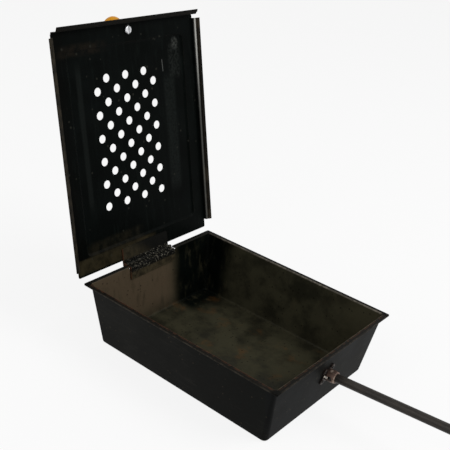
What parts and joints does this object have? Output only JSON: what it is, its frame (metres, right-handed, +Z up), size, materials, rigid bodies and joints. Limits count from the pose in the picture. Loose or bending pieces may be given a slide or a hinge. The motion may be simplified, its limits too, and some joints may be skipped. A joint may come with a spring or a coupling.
{
  "type": "stovetop popcorn popper",
  "caption": "Folded sheet-steel popping pan with a perforated hinged lid, a turned wooden knob and a long rod handle with a wooden grip, standing with its lid open.",
  "frame": {"origin": "middle of the pan's flat bottom, on the surface that it stands on", "axes": "+X along the handle towards its grip, +Z up, +Y across the pan along the hinge line"},
  "size_m": [0.6909, 0.1908, 0.2948],
  "materials": {
    "pan_steel": "worn black, brown patina inside",
    "lid_steel": "glossy black enamel",
    "hinge_steel": "dark, oil-browned",
    "knob_wood": "varnished",
    "zinc_screw": "zinc plated",
    "socket_bronze": "tarnished bronze",
    "rivet_steel": "dark",
    "rod_steel": "dark, lightly worn",
    "grip_wood": "oiled"
  },
  "bodies": {
    "popper": {"pan": "pan_steel", "pan_hinge_leaf": "hinge_steel", "hinge_pin": "hinge_steel", "handle_socket": "socket_bronze", "socket_rivet_upper_left": "rivet_steel", "socket_rivet_upper_right": "rivet_steel", "socket_rivet_lower_left": "rivet_steel", "socket_rivet_lower_right": "rivet_steel", "socket_cross_pin": "rivet_steel", "handle_rod": "rod_steel", "grip_ferrule": "rod_steel", "handle_grip": "grip_wood", "grip_washer": "rod_steel", "grip_cap_nut": "rod_steel"},
    "lid_group": {"lid": "lid_steel", "lid_hinge_leaf": "hinge_steel", "lid_knob": "knob_wood", "knob_screw": "zinc_screw"}
  },
  "joints": [
    {"name": "lid_hinge", "type": "hinge", "parent": "popper", "child": "lid_group", "pos_m": [-0.1165, 0, 0.0622], "axis": [0, 1, 0], "range_deg": [0, 100.4]}
  ]
}
